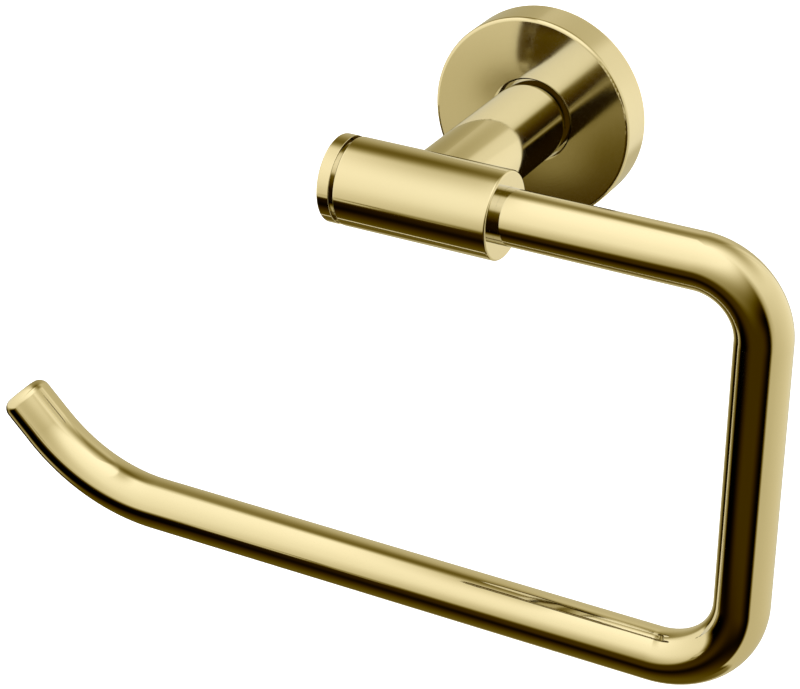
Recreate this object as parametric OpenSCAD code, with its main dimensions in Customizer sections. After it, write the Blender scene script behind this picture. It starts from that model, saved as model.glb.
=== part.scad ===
// Wall-mounted toilet paper holder with a pivoting arm, in millimetres.
// X runs along the roll, +Y goes into the wall, Z is up; the wall's surface is y = 0.
// The rosette and the post share the Y axis, and the arm turns on the barrel's axis.

/* [Rosette] */
// Diameter of the round wall rosette
rosette_d = 47; // [46:0.5:52]
// How far the rosette stands off the wall
rosette_depth = 8.7; // [8.5:0.1:10]
// Radius of the rosette's rounded front edge
rosette_edge_r = 0.8; // [0.4:0.1:1.2]
// Diameter of the recess that the post stands in
recess_d = 18.7; // [18.4:0.1:19.4]
// Distance between the two wall screws
screw_spacing = 28; // [27:0.5:29]

/* [Post and barrel] */
// Diameter of the post
post_d = 17.7; // [16.8:0.1:18]
// Distance from the wall to the barrel's axis
reach = 56; // [50:0.5:70]
// Diameter of the barrel
barrel_d = 19.05; // [19:0.05:20]
// Reach of the barrel to the right of the post's axis, towards the arm
barrel_right = 17.05; // [15.5:0.1:22]
// Reach of the barrel and its end cap to the left of the post's axis
barrel_left = 22; // [22:0.1:28]
// Thickness of the end cap's visible disc
cap_t = 2.94; // [2.5:0.1:3.5]
// Width of the shadow gap between the end cap and the barrel
cap_gap = 0.85; // [0.6:0.05:1.6]

/* [Arm] */
// Diameter of the arm's rod
rod_d = 12; // [12:0.01:12.02]
// Distance from the post's axis to the vertical run's axis
run_x = 74.1; // [60:0.5:85]
// Distance from the barrel's axis down to the roll bar's axis
drop = 94.55; // [75:0.5:110]
// Bend radius, on the centre line, of the upper corner
upper_bend_r = 14.5; // [13:0.2:20]
// Bend radius, on the centre line, of the lower corner
lower_bend_r = 18.8; // [14:0.2:24]
// Where the roll bar's straight part ends, to the left of the post's axis
bar_end_x = 70.65; // [55:0.5:80]
// Bend radius, on the centre line, of the upturned tip
tip_bend_r = 42.6; // [30:0.5:50]
// How far the tip is turned up, in degrees
tip_angle = 45; // [30:0.5:60]
// Straight length at the end of the tip
tip_len = 10.8; // [6:0.2:16]
// Radius of the tip's rounded end edge
tip_edge_r = 2.6; // [1:0.1:2.8]
// Angle that the arm swings out from the wall, in degrees
swing_out = 110; // [90:5:120]
// Angle that the arm swings back towards the wall, in degrees
swing_back = 20; // [10:1:24]

/* [Hidden] */
$fn = 96;
hex_sides = 6;
eps = 0.01;          // overlap that makes a cut run past a face
fit_gap = 0.02;      // radial gap between parts that are fixed together
running_gap = 0.04;  // radial gap between parts that turn

// Rosette cover: a cup with a boss behind the recess
rosette_r = rosette_d / 2;
cover_wall = 2.2;
cover_face = 2.7;
cover_inner_r = rosette_r - cover_wall;
recess_r = recess_d / 2;
recess_depth = 2;
recess_lip = 0.4;
recess_floor = rosette_depth - recess_depth;
boss_r = 12;
boss_floor = 1.8;
boss_back = recess_floor - boss_floor;

// Wall plate, with an undercut rim for the grub screw
plate_t = 4.2;
plate_r = cover_inner_r - 1.3;
plate_undercut = 1.5;
plate_bore_r = 8.5;
wall_screw_r = 2.25;
countersink_r = 4.5;
countersink_depth = countersink_r - wall_screw_r;

// M4 grub screw, at the bottom of the rosette
grub_r = 2;
grub_from_wall = 3.2;
grub_outer = rosette_r - 0.5;
grub_tip = plate_r + 0.05;
grub_cone = 1;
grub_tip_r = 0.9;
grub_socket_af = 2;
grub_socket_depth = 1.3;

// Post, seated in the recess and cut to the barrel
post_r = post_d / 2;
neck_r = post_r - 0.25;
neck_end = rosette_depth + 1.7;
neck_chamfer = post_r - neck_r;
barrel_r = barrel_d / 2;
dowel_r = 1;
dowel_offset = 6;
dowel_start = boss_back + 0.1;
dowel_len = 5.5;
dowel_room = 0.4;

// M5 tie screw, from behind the rosette into the barrel
tie_r = 2.5;
tie_bore_r = 2.75;
plain_washer_t = 0.8;
plain_washer_r = 5;
lock_washer_t = 1;
lock_washer_r = 4.6;
lock_washer_slit = 0.8;
washer_bore_r = 2.65;
tie_head_r = 4.4;
tie_head_t = 2.6;
tie_seat = boss_back - plain_washer_t - lock_washer_t;
tie_socket_af = 3;
tie_socket_depth = 1.6;

// Barrel and what it holds, along its own axis
bore_r = 7.5;
barrel_start = -barrel_left + cap_t + cap_gap;
barrel_chamfer = 0.4;
cap_seam_chamfer = 0.15;
lip_t = 1.5;
lip_r = rod_d / 2 + 0.15;
bush_end = barrel_right - lip_t;
bush_len = 6;
sleeve_end = bush_end - bush_len;
sleeve_bore_r = rod_d / 2 + 0.3;
web_start = -8;
web_end = -3;
rod_shoulder = web_end + 0.2;
journal_r = 3;
inner_bush_r = 3.8;
flange_r = 6;
flange_t = 1;
journal_end = web_start - flange_t - 1.2;
tie_end = reach - sleeve_bore_r - 0.4;

// Stop pin in the sleeve's web, and the notch that it runs in
stop_pin_r = 0.8;
stop_pin_offset = 5;
stop_pin_start = web_start + 1;
stop_pin_end = web_end + 2;
notch_inner_r = 4;
notch_depth = stop_pin_end - rod_shoulder + 0.4;
notch_spare = asin(stop_pin_r / stop_pin_offset) + 0.5;
notch_from = 180 - swing_back - notch_spare;
notch_span = swing_out + swing_back + 2 * notch_spare;

// M3 retaining screw, its washer and the disc spring
keep_r = 1.5;
keep_len = 6;
keep_washer_t = 0.8;
keep_head_r = 2.75;
keep_head_t = 1.8;
keep_socket_af = 2;
keep_socket_depth = 1;
spring_t = 0.4;
spring_inner_r = 3.2;
spring_outer_r = 5.8;
spring_rise = 0.7;
spring_gap = 0.05;

// End cap
cap_start = -barrel_left;
cap_spigot_end = -14;
gap_r = bore_r + 0.9;
oring_r = 0.43;
oring_groove_r = bore_r - 2 * oring_r - fit_gap;
oring_groove_w = 1.3;
oring_x = (barrel_start + cap_spigot_end) / 2;

// Arm's centre line
rod_r = rod_d / 2;
upper_bend_x = run_x - upper_bend_r;
lower_bend_x = run_x - lower_bend_r;
tip_r = rod_r - 0.02;  // the tip is turned a hair smaller than the bend that it grows out of
tip_root = 0.4;        // how far the tip reaches back into the bend

// Turns a shape built along +Z so that it points out of the wall.
module out_of_wall() {
    rotate([90, 0, 0]) children();
}

// Turns a shape built along +Z so that it lies along the barrel's axis, pointing to +X.
module on_barrel() {
    translate([0, -reach, 0]) rotate([0, 90, 0]) children();
}

// A disc or rod from z = a to z = b.
module rod(r, a, b) {
    translate([0, 0, a]) cylinder(r = r, h = b - a);
}

// A ring from z = a to z = b.
module ring(outer, inner, a, b) {
    difference() {
        rod(outer, a, b);
        rod(inner, a - eps, b + eps);
    }
}

// A hexagonal socket, af across its flats, from z = a to z = b.
module hex_socket(af, a, b) {
    translate([0, 0, a]) cylinder(d = af / cos(180 / hex_sides), h = b - a, $fn = hex_sides);
}

// A cylinder from z = a to z = b with a chamfer of size c at either end.
module chamfered_rod(r, a, b, chamfer_a, chamfer_b) {
    rotate_extrude() polygon([
        [0, a], [r - chamfer_a, a], [r, a + chamfer_a],
        [r, b - chamfer_b], [r - chamfer_b, b], [0, b]
    ]);
}

// Outline of the rosette cover, turned about its axis.
module cover_outline() {
    difference() {
        union() {
            square([rosette_r - rosette_edge_r, rosette_depth]);
            square([rosette_r, rosette_depth - rosette_edge_r]);
            translate([rosette_r - rosette_edge_r, rosette_depth - rosette_edge_r])
                circle(r = rosette_edge_r);
        }
        translate([-eps, -1]) square([cover_inner_r + eps, boss_back + 1]);
        translate([boss_r, boss_back - eps])
            square([cover_inner_r - boss_r, rosette_depth - cover_face - boss_back + eps]);
        translate([-eps, recess_floor]) square([recess_r + eps, recess_depth + 1]);
        polygon([
            [recess_r - eps, rosette_depth - recess_lip - eps], [recess_r - eps, rosette_depth + eps],
            [recess_r + recess_lip + eps, rosette_depth + eps]
        ]);
        square([tie_bore_r, rosette_depth]);
    }
}

module wall_plate() {
    color("silver") out_of_wall() difference() {
        rotate_extrude() polygon([
            [plate_bore_r, 0], [plate_r - plate_undercut, 0],
            [plate_r, plate_t], [plate_bore_r, plate_t]
        ]);
        for (side = [-1, 1]) translate([side * screw_spacing / 2, 0, 0]) {
            rod(wall_screw_r, -1, plate_t + 1);
            translate([0, 0, plate_t - countersink_depth])
                cylinder(r1 = wall_screw_r, r2 = countersink_r, h = countersink_depth);
        }
    }
}

module rosette_cover() {
    color("goldenrod") difference() {
        out_of_wall() difference() {
            rotate_extrude() cover_outline();
            translate([0, dowel_offset, 0]) rod(dowel_r + fit_gap, boss_back - 1, recess_floor + 1);
        }
        translate([0, -grub_from_wall, 0])
            rod(grub_r + fit_gap, -rosette_r - 1, -cover_inner_r + 1);
    }
}

module rosette_grub_screw() {
    color("dimgray") translate([0, -grub_from_wall, 0]) difference() {
        union() {
            rod(grub_r, -grub_outer, -grub_tip - grub_cone);
            translate([0, 0, -grub_tip - grub_cone])
                cylinder(r1 = grub_r, r2 = grub_tip_r, h = grub_cone);
        }
        hex_socket(grub_socket_af, -grub_outer - 1, -grub_outer + grub_socket_depth);
    }
}

module post() {
    color("gold") difference() {
        out_of_wall() difference() {
            rotate_extrude() polygon([
                [tie_bore_r, recess_floor], [neck_r, recess_floor], [neck_r, neck_end],
                [post_r, neck_end + neck_chamfer], [post_r, reach], [tie_bore_r, reach]
            ]);
            translate([0, dowel_offset, 0])
                rod(dowel_r + fit_gap, recess_floor - 1, dowel_start + dowel_len + dowel_room);
        }
        on_barrel() rod(barrel_r + fit_gap, -post_d, post_d);
    }
}

module post_dowel() {
    color("slategray") out_of_wall() translate([0, dowel_offset, 0])
        rod(dowel_r, dowel_start, dowel_start + dowel_len);
}

module tie_screw() {
    color("gray") out_of_wall() difference() {
        union() {
            rod(tie_head_r, tie_seat - tie_head_t, tie_seat);
            rod(tie_r, tie_seat - eps, tie_end);
        }
        hex_socket(tie_socket_af, tie_seat - tie_head_t - 1, tie_seat - tie_head_t + tie_socket_depth);
    }
}

module tie_plain_washer() {
    color("lightgray") out_of_wall()
        ring(plain_washer_r, washer_bore_r, boss_back - plain_washer_t, boss_back);
}

// A spring washer: a ring with one slit.
module tie_lock_washer() {
    color("darkgray") out_of_wall() difference() {
        ring(lock_washer_r, washer_bore_r, tie_seat, tie_seat + lock_washer_t);
        translate([0, -lock_washer_slit / 2, tie_seat - 1])
            cube([lock_washer_r + 1, lock_washer_slit, lock_washer_t + 2]);
    }
}

module barrel() {
    color("gold") difference() {
        on_barrel() difference() {
            chamfered_rod(barrel_r, barrel_start, barrel_right, barrel_chamfer, barrel_chamfer);
            rod(bore_r, barrel_start - 1, bush_end);
            rod(lip_r, bush_end - 1, barrel_right + 1);
        }
        out_of_wall() rod(tie_r + fit_gap, reach - barrel_r - 1, reach - bore_r + 1);
    }
}

// Metal liner in the barrel: its web carries the inner bush and the stop pin.
module bearing_sleeve() {
    color("lightsteelblue") difference() {
        on_barrel() difference() {
            rod(bore_r - fit_gap, web_start, sleeve_end);
            rod(sleeve_bore_r, web_end, sleeve_end + 1);
            rod(inner_bush_r + fit_gap, web_start - 1, web_end + 1);
            rotate([0, 0, 180]) translate([stop_pin_offset, 0, 0])
                rod(stop_pin_r + fit_gap, stop_pin_start, web_end + 1);
        }
        out_of_wall() rod(tie_r + fit_gap, reach - bore_r - 1, reach - sleeve_bore_r + 1);
    }
}

module outer_bush() {
    color("white") on_barrel()
        ring(bore_r - fit_gap, rod_r + running_gap, sleeve_end, bush_end);
}

module inner_bush() {
    color("white") on_barrel() difference() {
        union() {
            rod(inner_bush_r, web_start - eps, web_end);
            rod(flange_r, web_start - flange_t, web_start);
        }
        rod(journal_r + running_gap, web_start - flange_t - 1, web_end + 1);
    }
}

module stop_pin() {
    color("slategray") on_barrel() rotate([0, 0, 180]) translate([stop_pin_offset, 0, 0])
        rod(stop_pin_r, stop_pin_start, stop_pin_end);
}

module end_cap() {
    color("gold") on_barrel() difference() {
        union() {
            chamfered_rod(
                barrel_r, cap_start, cap_start + cap_t, barrel_chamfer, cap_seam_chamfer
            );
            rod(gap_r, cap_start + cap_t - eps, barrel_start);
            rod(bore_r - fit_gap, barrel_start - eps, cap_spigot_end);
        }
        ring(bore_r + 1, oring_groove_r, oring_x - oring_groove_w / 2, oring_x + oring_groove_w / 2);
    }
}

module end_cap_oring() {
    color("black") on_barrel() translate([0, 0, oring_x]) rotate_extrude()
        translate([oring_groove_r + oring_r, 0]) circle(r = oring_r);
}

// Part of a turn of the rod in the plane of the arm, about its bend's centre; 0 is +X and 90 is +Z.
module rod_bend(bend_r, from, turn) {
    rotate([90, 0, 0]) rotate([0, 0, from]) rotate_extrude(angle = turn)
        translate([bend_r, 0]) circle(r = rod_r);
}

// The rod's far end: straight, with a rounded edge, along +Z from its own origin.
module rod_tip() {
    rotate_extrude() {
        translate([0, -tip_root]) square([tip_r, tip_root + tip_len - tip_edge_r]);
        square([tip_r - tip_edge_r, tip_len]);
        intersection() {
            translate([tip_r - tip_edge_r, tip_len - tip_edge_r]) circle(r = tip_edge_r);
            square([tip_r, tip_len]);
        }
    }
}

// The bent part of the arm, drawn with the barrel's axis as its origin.
module bent_rod() {
    translate([rod_shoulder, 0, 0]) rotate([0, 90, 0])
        cylinder(r = rod_r, h = upper_bend_x - rod_shoulder);
    translate([upper_bend_x, 0, -upper_bend_r]) rod_bend(upper_bend_r, 0, 90);
    translate([run_x, 0, 0]) rod(rod_r, -drop + lower_bend_r, -upper_bend_r);
    translate([lower_bend_x, 0, -drop + lower_bend_r]) rod_bend(lower_bend_r, -90, 90);
    translate([-bar_end_x, 0, -drop]) rotate([0, 90, 0])
        cylinder(r = rod_r, h = bar_end_x + lower_bend_x);
    translate([-bar_end_x, 0, -drop + tip_bend_r]) {
        rod_bend(tip_bend_r, -90, -tip_angle);
        rotate([0, tip_angle, 0]) translate([0, 0, -tip_bend_r]) rotate([0, -90, 0]) rod_tip();
    }
}

// The notch in the rod's shoulder: the stop pin ends the swing at either side of it.
module stop_notch() {
    rotate([0, 0, notch_from]) rotate_extrude(angle = notch_span)
        translate([notch_inner_r, rod_shoulder - 1]) square([rod_r - notch_inner_r + 1, notch_depth + 1]);
}

module arm_rod() {
    color("khaki") difference() {
        union() {
            translate([0, -reach, 0]) bent_rod();
            on_barrel() rod(journal_r, journal_end, rod_shoulder + eps);
        }
        on_barrel() {
            stop_notch();
            rod(keep_r + fit_gap, journal_end - 1, journal_end + keep_len + 1);
        }
    }
}

// A coned washer that takes up the play between the inner bush and the retaining washer.
module disc_spring() {
    color("darkgray") on_barrel() translate([0, 0, journal_end + spring_gap]) rotate_extrude()
        polygon([
            [spring_inner_r, 0], [spring_outer_r, spring_rise],
            [spring_outer_r, spring_rise + spring_t], [spring_inner_r, spring_t]
        ]);
}

module retaining_washer() {
    color("lightgray") on_barrel()
        ring(flange_r, keep_r + 0.1, journal_end - keep_washer_t, journal_end);
}

module retaining_screw() {
    head_end = journal_end - keep_washer_t;
    color("gray") on_barrel() difference() {
        union() {
            rod(keep_head_r, head_end - keep_head_t, head_end);
            rod(keep_r, head_end - eps, journal_end + keep_len);
        }
        hex_socket(keep_socket_af, head_end - keep_head_t - 1, head_end - keep_head_t + keep_socket_depth);
    }
}

wall_plate();
rosette_cover();
rosette_grub_screw();
post();
post_dowel();
tie_screw();
tie_plain_washer();
tie_lock_washer();
barrel();
bearing_sleeve();
outer_bush();
inner_bush();
stop_pin();
end_cap();
end_cap_oring();
arm_rod();
disc_spring();
retaining_washer();
retaining_screw();
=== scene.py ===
"""Wall-mounted toilet paper holder in pale gold: rosette, post, barrel and pivoting rod arm.

Metres, in the row frame: X along the roll, +Y into the wall, Z up, the wall's surface at y = 0.
"""

import math
from collections import namedtuple

import bmesh
import bpy
from mathutils import Euler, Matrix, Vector


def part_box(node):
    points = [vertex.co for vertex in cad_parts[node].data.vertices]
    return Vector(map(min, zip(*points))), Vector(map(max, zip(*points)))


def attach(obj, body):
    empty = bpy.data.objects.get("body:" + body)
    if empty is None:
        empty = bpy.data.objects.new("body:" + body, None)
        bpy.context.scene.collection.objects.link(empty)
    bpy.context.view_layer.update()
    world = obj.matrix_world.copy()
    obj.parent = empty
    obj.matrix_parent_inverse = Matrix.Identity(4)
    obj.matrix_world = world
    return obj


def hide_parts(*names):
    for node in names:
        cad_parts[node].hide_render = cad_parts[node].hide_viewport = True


MM = 0.001

# Camera: the angle of view and the place that the picture was taken from
IMAGE_WIDTH = 800
SENSOR_WIDTH = 36.0
FOCAL_PIXELS = 2577.81
CAMERA_PLACE = Vector((221.175, -485.108, 223.067)) * MM
CAMERA_AZIMUTH = 27.997
CAMERA_ELEVATION = 28.045
CAMERA_ROLL = 0.481
NEAR, FAR = 0.01, 20

# How finely the metal pieces are drawn
RING_STEPS = 160
BEND_STEPS = 56
ROUNDING_STEPS = 6
ON_AXIS = 1e-9

# Arm
UPPER_BEND_R = 14.5 * MM
LOWER_BEND_R = 18.8 * MM
TIP_BEND_R = 42.6 * MM
TIP_ANGLE = 45.0
TIP_LENGTH = 10.8 * MM
TIP_EDGE_R = 2.6 * MM
TIP_START = 1 * MM
TIP_STEP = 0.02 * MM
BAR_END_X = -70.65 * MM
JOURNAL_R = 3.0 * MM
JOURNAL_END = -10.2 * MM
SHOULDER_X = -0.6 * MM
ROD_START = 4 * MM
FINE_EDGE = 0.12 * MM

# Barrel and end cap
EDGE_R = 0.5 * MM
SEAM_EDGE_R = 0.15 * MM
CAP_DISC = 2.94 * MM
SHADOW_GAP = 0.85 * MM
GAP_DEPTH = 1.1 * MM
BORE_R = 7.5 * MM
SPIGOT_GAP = 0.9 * MM
LIP = 1.5 * MM
LIP_GAP = 0.02 * MM

# Post
NECK_STEP = 0.25 * MM
NECK_END = 10.4 * MM
POST_BORE_R = 2.75 * MM

# Gold: its own colour, how it varies over the surface, and how light shows on it on screen
GOLD = (1.0, 0.87, 0.54)
GOLD_DEEP = (1.0, 0.855, 0.52)
GOLD_PALE = (1.0, 0.885, 0.56)
TONE_OFFSETS = (17.7, 0.7, -52.3)
TONE_FULL, TONE_LEAST = 38.0, 0.1
WHITE_LEVEL = 255
DISPLAY_GAMMA = 2.2

# Sizes of what the gold's finish holds
MICRON = 0.001 * MM
TONE_BLOT = 35 * MM
HAZE_BLOT = 22 * MM
PEEL_BLOT = 3 * MM
SPECK_BLOT = 0.3 * MM
HAIRLINE_PITCH = 0.25 * MM
HAIRLINE_STRETCH = 0.02
PEEL_DEPTH = 0.8 * MICRON
HAIRLINE_DEPTH = 0.35 * MICRON

# Floor
FLOOR_HALF = 3.0
FLOOR_LEVEL = -0.16
FLOOR_GREY = 0.85
FLOOR_ROUGHNESS = 0.9
FLOOR_GLOW = 0.8

# Studio dome
DOME_R = 0.4
DOME_CENTRE = Vector((0, -0.054, -0.05))
DOME_SEGMENTS, DOME_RINGS = 96, 48


# ---------------------------------------------------------------- outlines and meshes


def rounded(corners, closed=False):
    """Points and outward normals along an outline of (across, along, rounding) corners.

    The outside is on the right of the direction of travel. Both are pairs (across, along).
    """
    spots = [Vector((c[0], c[1])) for c in corners]
    count = len(spots)
    out = []
    for i, (spot, given) in enumerate(zip(spots, corners)):
        has_before, has_after = closed or i > 0, closed or i < count - 1
        come = (spot - spots[i - 1]).normalized() if has_before else None
        go = (spots[(i + 1) % count] - spot).normalized() if has_after else None
        if come is None or go is None:
            d = go or come
            out.append((spot.copy(), Vector((d.y, -d.x))))
            continue
        start = math.atan2(come.y, come.x)
        turn = math.atan2(come.x * go.y - come.y * go.x, come.dot(go))
        radius = given[2]
        side = 1 if turn > 0 else -1
        first = spot - come * (radius * math.tan(abs(turn) / 2))
        centre = first + Vector((-math.sin(start), math.cos(start))) * (side * radius)
        for k in range(ROUNDING_STEPS + 1):
            heading = start + turn * k / ROUNDING_STEPS
            normal = Vector((math.sin(heading), -math.cos(heading)))
            out.append((centre + normal * (side * radius), normal))
    if closed:
        out.append(out[0])
    return out


def unrolled(rings):
    """Every point's place on the straightened piece: how far along, and where round it."""
    along = 0.0
    for i, ring in enumerate(rings):
        if i:
            along += (ring[0] - rings[i - 1][0]).length
        across = max((spot - ring[0]).length for spot in ring) / 2
        for j in range(len(ring)):
            angle = 2 * math.pi * j / len(ring)
            yield along, across * math.cos(angle), across * math.sin(angle)


def skin(name, rings, normals):
    """A smooth mesh through rings of points, with exact normals. A ring of one point closes an end."""
    points, faces, all_normals, starts = [], [], [], []
    for ring, ring_normals in zip(rings, normals):
        starts.append(len(points))
        points.extend(ring)
        all_normals.extend(ring_normals)
    for i in range(len(rings) - 1):
        a, b = starts[i], starts[i + 1]
        wide_a, wide_b = len(rings[i]), len(rings[i + 1])
        for j in range(max(wide_a, wide_b)):
            k = (j + 1) % max(wide_a, wide_b)
            if wide_a == 1:
                faces.append((a, b + k, b + j))
            elif wide_b == 1:
                faces.append((a + j, a + k, b))
            else:
                faces.append((a + j, a + k, b + k, b + j))
    mesh = bpy.data.meshes.new(name)
    mesh.from_pydata(points, [], faces)
    for face in mesh.polygons:
        face.use_smooth = True
    mesh.normals_split_custom_set_from_vertices(all_normals)
    lay = mesh.attributes.new("lay", "FLOAT_VECTOR", "POINT")
    for spot, place in zip(lay.data, unrolled(rings)):
        spot.vector = place
    piece = bpy.data.objects.new(name, mesh)
    bpy.context.scene.collection.objects.link(piece)
    return piece


def ring_at(centre, right, up, forward, across, normal, steps=RING_STEPS):
    """One ring of points and normals round a centre; a ring on the axis is a single point."""
    if across < ON_AXIS:
        return [centre.copy()], [forward * normal.y]
    ring, normals = [], []
    for j in range(steps):
        angle = 2 * math.pi * j / steps
        spoke = right * math.cos(angle) + up * math.sin(angle)
        ring.append(centre + spoke * across)
        normals.append((spoke * normal.x + forward * normal.y).normalized())
    return ring, normals


def turned(name, corners, origin, right, up, closed=False):
    """A piece turned about the line from origin along right x up."""
    forward = right.cross(up)
    made = [
        ring_at(origin + forward * spot.y, right, up, forward, spot.x, normal)
        for spot, normal in rounded(corners, closed)
    ]
    return skin(name, [m[0] for m in made], [m[1] for m in made])


# ---------------------------------------------------------------- metal pieces


def make_barrel(frame_box, reach, outer_r, rod_r):
    """The barrel: a tube with rounded ends, the right one with a lip round the rod."""
    left, right_end = frame_box[0].x, frame_box[1].x
    corners = [
        (BORE_R, left, FINE_EDGE), (outer_r, left, EDGE_R), (outer_r, right_end, EDGE_R),
        (rod_r + LIP_GAP, right_end, 0), (rod_r + LIP_GAP, right_end - LIP, 0),
        (BORE_R, right_end - LIP, 0),
    ]
    return turned(
        "barrel_skin", corners, Vector((0, -reach, 0)), Vector((0, 1, 0)), Vector((0, 0, 1)), closed=True
    )


def make_end_cap(frame_box, reach, outer_r):
    """The end cap: a rounded disc, the floor of the shadow gap, and a spigot in the bore."""
    left, right_end = frame_box[0].x, frame_box[1].x
    disc = left + CAP_DISC
    gap_r, spigot_r = outer_r - GAP_DEPTH, BORE_R - SPIGOT_GAP
    corners = [
        (0, left, 0), (outer_r, left, EDGE_R), (outer_r, disc, SEAM_EDGE_R),
        (gap_r, disc, 0), (gap_r, disc + SHADOW_GAP, 0),
        (spigot_r, disc + SHADOW_GAP, 0), (spigot_r, right_end, 0), (0, right_end, 0),
    ]
    return turned(
        "end_cap_skin", corners, Vector((0, -reach, 0)), Vector((0, 1, 0)), Vector((0, 0, 1))
    )


def make_post(frame_box, reach, barrel_r):
    """The post: its neck stands in the rosette's recess, and its far end is cut to the barrel."""
    root = -frame_box[1].y
    post_r = (frame_box[1].x - frame_box[0].x) / 2
    corners = [
        (POST_BORE_R, root, 0), (post_r - NECK_STEP, root, 0), (post_r - NECK_STEP, NECK_END, FINE_EDGE),
        (post_r, NECK_END + NECK_STEP, FINE_EDGE), (post_r, reach, 0),
    ]
    right, up = Vector((1, 0, 0)), Vector((0, 0, 1))
    forward = right.cross(up)
    made = [
        ring_at(forward * spot.y, right, up, forward, spot.x, normal) for spot, normal in rounded(corners)
    ]
    rim, rim_normals = made[-1]
    saddle = [Vector((p.x, -reach + math.sqrt(barrel_r**2 - p.z**2), p.z)) for p in rim]
    made[-1] = (saddle, rim_normals)
    return skin("post_skin", [m[0] for m in made], [m[1] for m in made])


class Walk:
    """The rod's centre line in the arm's plane: a place and a heading, 0 = +X, turning towards -Z."""

    def __init__(self, x, y, z):
        self.place = Vector((x, y, z))
        self.heading = 0.0
        self.rings, self.normals = [], []

    def forward(self):
        return Vector((math.cos(self.heading), 0, -math.sin(self.heading)))

    def add(self, along, across, normal):
        ahead = self.forward()
        side = Vector((0, 1, 0))
        ring, normals = ring_at(
            self.place + ahead * along, side, ahead.cross(side), ahead, across, normal
        )
        self.rings.append(ring)
        self.normals.append(normals)

    def straight(self, length):
        self.place += self.forward() * length

    def bend(self, radius, degrees, across):
        """Turn by so many degrees, leaving rings on the way, the first and the last included."""
        turn = math.radians(degrees) / BEND_STEPS
        centre = self.place + Vector((-math.sin(self.heading), 0, -math.cos(self.heading))) * radius
        self.add(0, across, Vector((1, 0)))
        for _ in range(BEND_STEPS):
            self.heading += turn
            spoke = Vector((math.sin(self.heading), 0, math.cos(self.heading)))
            self.place = centre + spoke * radius
            self.add(0, across, Vector((1, 0)))


def make_arm(frame_box, reach, rod_r):
    """The arm: one bent rod, its journal in the barrel, with a rounded end at the tip."""
    run_x = frame_box[1].x - rod_r
    drop = -frame_box[0].z - rod_r
    walk = Walk(0, -reach, 0)
    for spot, normal in rounded([
        (0, JOURNAL_END, 0), (JOURNAL_R, JOURNAL_END, FINE_EDGE), (JOURNAL_R, SHOULDER_X, FINE_EDGE),
        (rod_r, SHOULDER_X, FINE_EDGE), (rod_r, ROD_START, 0),
    ]):
        walk.add(spot.y, spot.x, normal)
    walk.straight(run_x - UPPER_BEND_R)
    walk.bend(UPPER_BEND_R, 90, rod_r)
    walk.straight(drop - UPPER_BEND_R - LOWER_BEND_R)
    walk.bend(LOWER_BEND_R, 90, rod_r)
    walk.straight(run_x - LOWER_BEND_R - BAR_END_X)
    walk.bend(TIP_BEND_R, TIP_ANGLE, rod_r)
    tip_r = rod_r - TIP_STEP
    for spot, normal in rounded([
        (tip_r, TIP_START, 0), (tip_r, TIP_LENGTH, TIP_EDGE_R), (0, TIP_LENGTH, 0),
    ]):
        walk.add(spot.y, spot.x, normal)
    return skin("arm_skin", walk.rings, walk.normals)


# ---------------------------------------------------------------- node trees


class Graph:
    """Short ways to add nodes to a node tree."""

    def __init__(self, tree):
        self.tree = tree

    def node(self, kind, inputs=(), **settings):
        made = self.tree.nodes.new(kind)
        for key, value in settings.items():
            setattr(made, key, value)
        for socket, value in dict(inputs).items():
            if isinstance(value, bpy.types.NodeSocket):
                self.tree.links.new(value, made.inputs[socket])
            else:
                made.inputs[socket].default_value = value
        return made

    def maths(self, operation, a, b=0.0):
        return self.node("ShaderNodeMath", {0: a, 1: b}, operation=operation).outputs[0]

    def vector(self, operation, a, b=(0, 0, 0)):
        return self.node("ShaderNodeVectorMath", {0: a, 1: b}, operation=operation).outputs[0]

    def ramp(self, value, low, high, at_low=0.0, at_high=1.0):
        """at_low below low and at_high above high, smooth between; low may be above high."""
        if low > high:
            low, high, at_low, at_high = high, low, at_high, at_low
        return self.node(
            "ShaderNodeMapRange",
            {"Value": value, "From Min": low, "From Max": high, "To Min": at_low, "To Max": at_high},
            interpolation_type="SMOOTHSTEP",
        ).outputs["Result"]

    def blend(self, share, a, b):
        """The number a where share is 0 and b where it is 1."""
        return self.node("ShaderNodeMix", {0: share, 2: a, 3: b}, data_type="FLOAT").outputs[0]

    def tint(self, share, a, b):
        """The colour a where share is 0 and b where it is 1."""
        return self.node("ShaderNodeMix", {0: share, 6: a, 7: b}, data_type="RGBA").outputs[2]

    def noise(self, place, size, detail=2.0):
        """Noise round 0.5 whose blots are about this many metres across."""
        return self.node(
            "ShaderNodeTexNoise", {"Vector": place, "Scale": 1 / size, "Detail": detail}
        ).outputs["Fac"]

    def bump(self, height, depth, under=None):
        inputs = {"Height": height, "Strength": 1.0, "Distance": depth}
        if under is not None:
            inputs["Normal"] = under
        return self.node("ShaderNodeBump", inputs).outputs["Normal"]


# ---------------------------------------------------------------- materials


def new_finish(name):
    """A material, its graph and its shader."""
    material = bpy.data.materials.new(name)
    material.use_nodes = True
    return material, Graph(material.node_tree), material.node_tree.nodes["Principled BSDF"]


def connect(g, shader, colour, roughness, normal):
    for socket, value in (("Base Color", colour), ("Roughness", roughness), ("Normal", normal)):
        g.tree.links.new(value, shader.inputs[socket])


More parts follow.
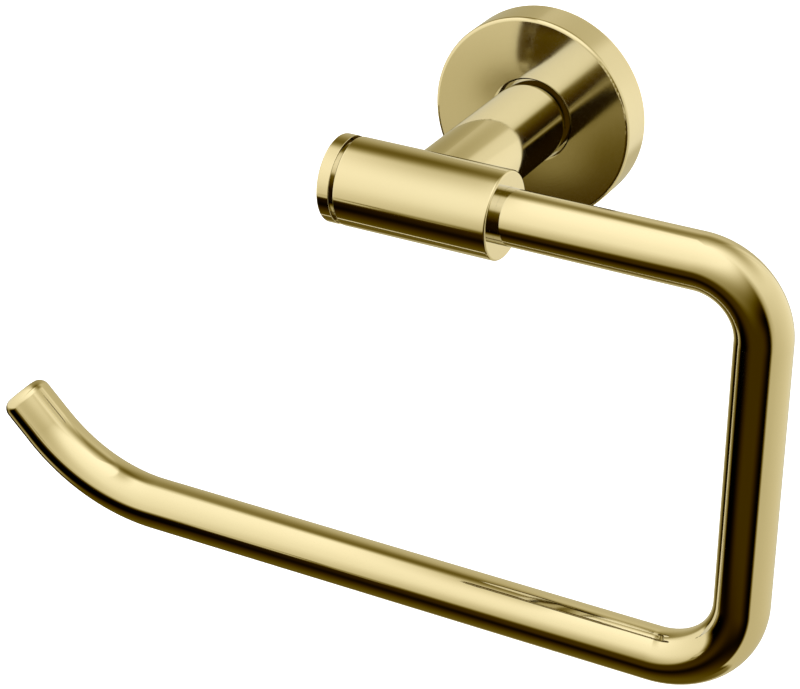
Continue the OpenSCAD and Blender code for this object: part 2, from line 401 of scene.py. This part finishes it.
def gold_finish(name, lay, sheen, grain):
    """Lacquered pale gold plate: hairlines across the lay, faint hand haze, a little orange peel.

    lay gives the surface's own place, its first number along the hairlines' spacing.
    """
    material, g, shader = new_finish(name)
    shader.inputs["Metallic"].default_value = 1
    place = g.node("ShaderNodeTexCoord").outputs["Object"]
    across_lines = lay(g, place)
    stretch = (1, HAIRLINE_STRETCH, HAIRLINE_STRETCH)
    haze = g.ramp(g.noise(place, HAZE_BLOT, 4), 0.42, 0.68)
    hairlines = g.noise(g.vector("MULTIPLY", across_lines, stretch), HAIRLINE_PITCH, 3)
    peel = g.noise(place, PEEL_BLOT, 1)
    speck = g.noise(place, SPECK_BLOT, 2)
    colour = g.tint(g.noise(place, TONE_BLOT, 2), (*GOLD_DEEP, 1), (*GOLD_PALE, 1))
    scratched = g.maths("MULTIPLY", g.maths("SUBTRACT", hairlines, 0.5), sheen * 0.3)
    rough = g.maths("ADD", g.blend(haze, sheen, sheen * 1.35), scratched)
    normal = g.bump(peel, PEEL_DEPTH)
    normal = g.bump(hairlines, HAIRLINE_DEPTH, normal)
    normal = g.bump(speck, grain, normal)
    connect(g, shader, colour, rough, normal)
    return material


def drawn_lay(g, place):
    """Hairlines round a rod, from the skin's own unrolled coordinates."""
    return g.node("ShaderNodeAttribute", attribute_name="lay").outputs["Vector"]


def faced_lay(g, place):
    """Hairlines in circles round the wall axis, as on a face turned on a lathe."""
    flat = g.vector("MULTIPLY", place, (1, 0, 1))
    out = g.node("ShaderNodeVectorMath", {0: flat}, operation="LENGTH").outputs["Value"]
    axes = g.node("ShaderNodeSeparateXYZ", {0: place}).outputs
    spacing = g.maths("ADD", out, axes[1])
    return g.node("ShaderNodeCombineXYZ", {0: spacing, 1: axes[0], 2: axes[2]}).outputs[0]


def steel_finish(name, dark, light, rough, lines):
    """Bare or plated steel: mottled colour, with rolling or turning lines of this spacing."""
    material, g, shader = new_finish(name)
    shader.inputs["Metallic"].default_value = 1
    place = g.node("ShaderNodeTexCoord").outputs["Object"]
    mottle = g.noise(place, 2.5 * MM, 4)
    stripe = g.noise(g.vector("MULTIPLY", place, (0.04, 1, 1)), lines, 2)
    colour = g.tint(g.ramp(mottle, 0.35, 0.65), (*dark, 1), (*light, 1))
    wear = g.maths("ADD", g.maths("MULTIPLY", mottle, 0.6), g.maths("MULTIPLY", stripe, 0.4))
    normal = g.bump(stripe, 1.2 * MICRON, g.bump(mottle, 3 * MICRON))
    connect(g, shader, colour, g.ramp(wear, 0.35, 0.65, *rough), normal)
    return material


def moulded_finish(name, dark, light, rough, dimple):
    """Moulded plastic or rubber: a fine dimpled skin with flow marks."""
    material, g, shader = new_finish(name)
    place = g.node("ShaderNodeTexCoord").outputs["Object"]
    flow = g.noise(place, 4 * MM, 3)
    dimples = g.noise(place, 0.15 * MM, 2)
    colour = g.tint(flow, (*dark, 1), (*light, 1))
    wear = g.maths("ADD", g.maths("MULTIPLY", flow, 0.5), g.maths("MULTIPLY", dimples, 0.5))
    connect(g, shader, colour, g.ramp(wear, 0.35, 0.65, *rough), g.bump(dimples, dimple))
    return material


def make_finishes():
    """One material for each material slot of the parts in model.glb."""
    return {
        "polished_gold": gold_finish("polished_gold_finish", drawn_lay, 0.055, 0.1 * MICRON),
        "satin_gold": gold_finish("satin_gold_finish", faced_lay, 0.085, 0.25 * MICRON),
        "wall_plate": steel_finish(
            "zinc_plate", (0.44, 0.45, 0.47), (0.60, 0.61, 0.62), (0.30, 0.50), 0.4 * MM
        ),
        "steel": steel_finish(
            "stainless", (0.48, 0.47, 0.45), (0.62, 0.61, 0.59), (0.20, 0.36), 0.12 * MM
        ),
        "dark_steel": steel_finish(
            "black_oxide", (0.035, 0.034, 0.036), (0.075, 0.073, 0.07), (0.32, 0.52), 0.15 * MM
        ),
        "bush_plastic": moulded_finish(
            "acetal", (0.74, 0.72, 0.66), (0.80, 0.79, 0.74), (0.32, 0.48), 2 * MICRON
        ),
        "seal_rubber": moulded_finish(
            "nitrile", (0.012, 0.012, 0.013), (0.024, 0.024, 0.026), (0.55, 0.78), 5 * MICRON
        ),
    }


# ---------------------------------------------------------------- studio


def make_camera():
    data = bpy.data.cameras.new("camera")
    data.sensor_width = SENSOR_WIDTH
    data.lens = FOCAL_PIXELS * SENSOR_WIDTH / IMAGE_WIDTH
    data.clip_start, data.clip_end = NEAR, FAR
    camera = bpy.data.objects.new("camera", data)
    camera.location = CAMERA_PLACE
    tilt = Euler((math.radians(90 - CAMERA_ELEVATION), 0, math.radians(CAMERA_AZIMUTH))).to_matrix()
    roll = Euler((0, 0, math.radians(CAMERA_ROLL))).to_matrix()
    camera.rotation_euler = (tilt @ roll).to_euler()
    bpy.context.scene.collection.objects.link(camera)
    bpy.context.scene.camera = camera


# The metal mirrors a studio that is painted on a dome round the holder. Brightness is what shows on screen,
# 0 to 255. Azimuth 0 is the side of the room (-Y), +90 is +X; elevation 0 is level; both are in degrees.
# Each card is painted over the ones before it. Every edge has its half width beside it, and a card without
# sides goes all the way round. A card's upper edge climbs by rise degrees for each degree of azimuth.
Card = namedtuple("Card", "name sides side_soft heights height_soft rise brightness")

CEILING_LEVEL = 247.0
LOWER_LIGHT = Card("lower light", None, None, (-95, 36), (1, 58), 0.0, 209)
CARDS = [
    Card("back wall", (149, 241), (1, 4), (-66, 45), (10, 46), 0.0, 170),
    Card("dark corner", (206, 243), (11, 20), (38, 61), (59, 14), 0.0, 16),
    Card("dark room", (-123, 83), (18, 4), (-95, -21), (1, 7), 0.0, 0),
    Card("dark rise", (-2, 62), (60, 12), (-75, 7), (8, 31), 0.53, 1),
    Card("brown glow", (-33, 40), (26, 17), (-40, -12), (8, 8), 0.3, 44),
    Card("floor", None, None, (-95, -58), (1, 25), 0.0, 67),
    Card("left floor", (-134, -68), (3, 54), (-95, -42), (1, 6), 0.0, 78),
    Card("left lamp", (-96, -76), (6, 9), (-43, -26), (4, 39), 0.0, 200),
    Card("left slot", (-139, -117), (17, 6), (-42, -3), (12, 60), 0.0, 98),
    Card("pale left of the post", (-36, -29.5), (1, 1), (-21.5, -14), (1, 2), 0.0, 170),
    Card("glow below the post", (-28, -24.5), (1, 1), (-22, -18.5), (0.5, 1.5), 0.0, 118),
    Card("shade above the post", (-30.5, -28), (1, 0.5), (-17.5, -16), (0.5, 0.5), 0.0, 70),
    Card("right card", (57.5, 208), (5.5, 27), (-65, 30), (2, 60), 0.0, 171),
    Card("right corner", (118, 209), (60, 7), (45, 70), (15, 31), 0.0, 85),
    Card("right window", (118, 164), (60, 4), (-22, 26), (38, 58), 0.0, 247),
]

# The seam between two ceiling lights is a straight strip along Y, in shares of the dome's radius
SEAM_SIDES, SEAM_SOFT = (-0.43, -0.30), (0.08, 0.02)
SEAM_FRONT, SEAM_FADE = -0.2, 0.6
SEAM_LEVEL = 170.0

# What is seen by way of two mirrors: its middle tones fall off, and these cards are painted over it.
# By way of three mirrors it keeps a share of that, and after more it has one dark brightness.
ECHO_CARDS = [
    Card("light from below", None, None, (-95, -50), (1, 10), 0.0, 150),
    # Painted shade: a dark card seen only by way of two mirrors, for the dark blotch on the rosette's face
    # where it mirrors the barrel's back.
    Card("behind the holder", (195, 236), (5, 8), (-62, 26), (8, 24), 0.0, 52),
]
ECHO_TONES = (172, 212)
ECHO_SHARES = (0.42, 0.89)
THIRD_SHARE = 0.65
DEEP_LEVEL = 38.0


def between(g, value, low, high, low_soft, high_soft):
    """1 from low to high and 0 beyond, with an edge of this half width at either side."""
    above = g.ramp(value, low - low_soft, low + low_soft)
    return g.maths("MULTIPLY", above, g.ramp(value, high + high_soft, high - high_soft))


def card_share(g, azimuth, elevation, card):
    """How much of a card covers this direction, 0 to 1."""
    low, high = card.heights
    low_soft, high_soft = card.height_soft
    upper = elevation
    if card.rise:
        upper = g.maths("SUBTRACT", elevation, g.maths("MULTIPLY", azimuth, card.rise))
    share = g.ramp(elevation, low - low_soft, low + low_soft)
    share = g.maths("MULTIPLY", share, g.ramp(upper, high + high_soft, high - high_soft))
    if card.sides is None:
        return share
    if card.sides[1] + card.side_soft[1] > 180:
        azimuth = g.maths("FLOORED_MODULO", azimuth, 360.0)
    return g.maths("MULTIPLY", share, between(g, azimuth, *card.sides, *card.side_soft))


def seam_share(g, axes):
    """How much of the ceiling's seam covers this direction, 0 to 1."""
    strip = between(g, axes[0], *SEAM_SIDES, *SEAM_SOFT)
    return g.maths("MULTIPLY", strip, g.ramp(axes[1], SEAM_FRONT - SEAM_FADE, SEAM_FRONT + SEAM_FADE))


def painted_level(g, azimuth, elevation, axes):
    """The brightness of the studio in this direction, seen in one mirror."""
    def lay_card(card, level):
        return g.blend(card_share(g, azimuth, elevation, card), level, float(card.brightness))

    level = lay_card(LOWER_LIGHT, CEILING_LEVEL)
    level = g.blend(seam_share(g, axes), level, SEAM_LEVEL)
    for card in CARDS:
        level = lay_card(card, level)
    return level


def echo_level(g, azimuth, elevation, level, mirrors):
    """The brightness as it is seen by way of this many mirrors."""
    second = g.maths("GREATER_THAN", mirrors, 1.5)
    third = g.maths("GREATER_THAN", mirrors, 2.5)
    deeper = g.maths("GREATER_THAN", mirrors, 3.5)
    kept = g.blend(second, 1.0, g.ramp(level, *ECHO_TONES, *ECHO_SHARES))
    level = g.maths("MULTIPLY", level, kept)
    for card in ECHO_CARDS:
        share = g.maths("MULTIPLY", second, card_share(g, azimuth, elevation, card))
        level = g.blend(share, level, float(card.brightness))
    return g.blend(deeper, g.maths("MULTIPLY", level, g.blend(third, 1.0, THIRD_SHARE)), DEEP_LEVEL)


def studio_colour(g, level, mirrors):
    """The colour of light that shows on the gold as this brightness: cream when bright, brown when dark.

    Light that comes by way of several mirrors has the gold's own colour taken out once for each.
    """
    strength = g.maths("MINIMUM", g.maths("ADD", g.maths("DIVIDE", level, TONE_FULL), TONE_LEAST), 1.0)
    offsets = g.vector("MULTIPLY", TONE_OFFSETS, strength)
    seen = g.vector("MAXIMUM", g.vector("ADD", level, offsets), (0, 0, 0))
    shown = g.vector("MULTIPLY", seen, (1 / WHITE_LEVEL,) * 3)
    linear = g.node("ShaderNodeGamma", {0: shown, 1: DISPLAY_GAMMA}).outputs[0]
    tints = g.node("ShaderNodeGamma", {0: (*(1 / c for c in GOLD), 1), 1: mirrors}).outputs[0]
    return g.vector("MULTIPLY", linear, tints)


def paint_dome():
    """The dome's light, painted by direction from its centre."""
    material = bpy.data.materials.new("studio_cards")
    material.use_nodes = True
    material.node_tree.nodes.clear()
    g = Graph(material.node_tree)
    way = g.vector("NORMALIZE", g.node("ShaderNodeTexCoord").outputs["Object"])
    axes = g.node("ShaderNodeSeparateXYZ", {0: way}).outputs
    turn = g.maths("ARCTAN2", axes[0], g.maths("MULTIPLY", axes[1], -1.0))
    azimuth = g.maths("MULTIPLY", turn, math.degrees(1))
    elevation = g.maths("MULTIPLY", g.maths("ARCSINE", axes[2]), math.degrees(1))
    mirrors = g.node("ShaderNodeLightPath").outputs["Ray Depth"]
    level = painted_level(g, azimuth, elevation, axes)
    level = echo_level(g, azimuth, elevation, level, mirrors)
    light = g.node("ShaderNodeEmission", {0: studio_colour(g, level, mirrors)})
    g.node("ShaderNodeOutputMaterial", {"Surface": light.outputs[0]})
    return material


def make_dome():
    """The dome of cards. Only reflections see it."""
    mesh = bpy.data.meshes.new("studio_dome")
    shell = bmesh.new()
    bmesh.ops.create_uvsphere(shell, u_segments=DOME_SEGMENTS, v_segments=DOME_RINGS, radius=DOME_R)
    shell.to_mesh(mesh)
    shell.free()
    mesh.materials.append(paint_dome())
    dome = bpy.data.objects.new("studio_dome", mesh)
    dome.location = DOME_CENTRE
    bpy.context.scene.collection.objects.link(dome)
    dome.visible_camera = dome.visible_diffuse = dome.visible_shadow = dome.visible_transmission = False


def make_world():
    """Plain white all round: the backdrop, and the soft light on the floor."""
    world = bpy.data.worlds.new("studio")
    world.use_nodes = True
    world.node_tree.nodes["Background"].inputs["Color"].default_value = (1, 1, 1, 1)
    bpy.context.scene.world = world


def make_floor():
    """A plain white floor below the holder; the metal doesn't mirror it."""
    mesh = bpy.data.meshes.new("floor")
    corners = [(-1, -1), (1, -1), (1, 1), (-1, 1)]
    mesh.from_pydata([(x * FLOOR_HALF, y * FLOOR_HALF, FLOOR_LEVEL) for x, y in corners], [], [(0, 1, 2, 3)])
    floor = bpy.data.objects.new("floor", mesh)
    bpy.context.scene.collection.objects.link(floor)
    material = bpy.data.materials.new("floor")
    material.use_nodes = True
    shader = material.node_tree.nodes["Principled BSDF"]
    shader.inputs["Base Color"].default_value = (FLOOR_GREY, FLOOR_GREY, FLOOR_GREY, 1)
    shader.inputs["Roughness"].default_value = FLOOR_ROUGHNESS
    shader.inputs["Emission Color"].default_value = (1, 1, 1, 1)
    shader.inputs["Emission Strength"].default_value = FLOOR_GLOW
    mesh.materials.append(material)
    floor.visible_glossy = False


# ---------------------------------------------------------------- the scene

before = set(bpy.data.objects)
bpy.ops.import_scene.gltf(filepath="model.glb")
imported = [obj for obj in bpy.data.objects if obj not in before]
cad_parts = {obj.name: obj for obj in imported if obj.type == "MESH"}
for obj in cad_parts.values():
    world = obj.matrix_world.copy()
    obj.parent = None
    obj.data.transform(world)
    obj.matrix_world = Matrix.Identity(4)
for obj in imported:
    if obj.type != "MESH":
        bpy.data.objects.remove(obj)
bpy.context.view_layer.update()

barrel_box, cap_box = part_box("barrel"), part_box("end_cap")
post_box, arm_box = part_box("post"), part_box("arm_rod")
REACH = -(barrel_box[0].y + barrel_box[1].y) / 2
BARREL_R = (barrel_box[1].z - barrel_box[0].z) / 2
ROD_R = (arm_box[1].y - arm_box[0].y) / 2

finishes = make_finishes()

for piece, node, body in (
    (make_barrel(barrel_box, REACH, BARREL_R, ROD_R), "barrel", "wall_bracket"),
    (make_end_cap(cap_box, REACH, BARREL_R), "end_cap", "wall_bracket"),
    (make_post(post_box, REACH, BARREL_R), "post", "wall_bracket"),
    (make_arm(arm_box, REACH, ROD_R), "arm_rod", "arm"),
):
    piece.data.materials.append(finishes["polished_gold"])
    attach(piece, body)
    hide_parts(node)

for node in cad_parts.values():
    for slot in node.material_slots:
        slot.material = finishes[slot.material.name.split(".")[0]]

make_camera()
make_world()
make_dome()
make_floor()
bpy.context.scene.view_settings.view_transform = "Standard"
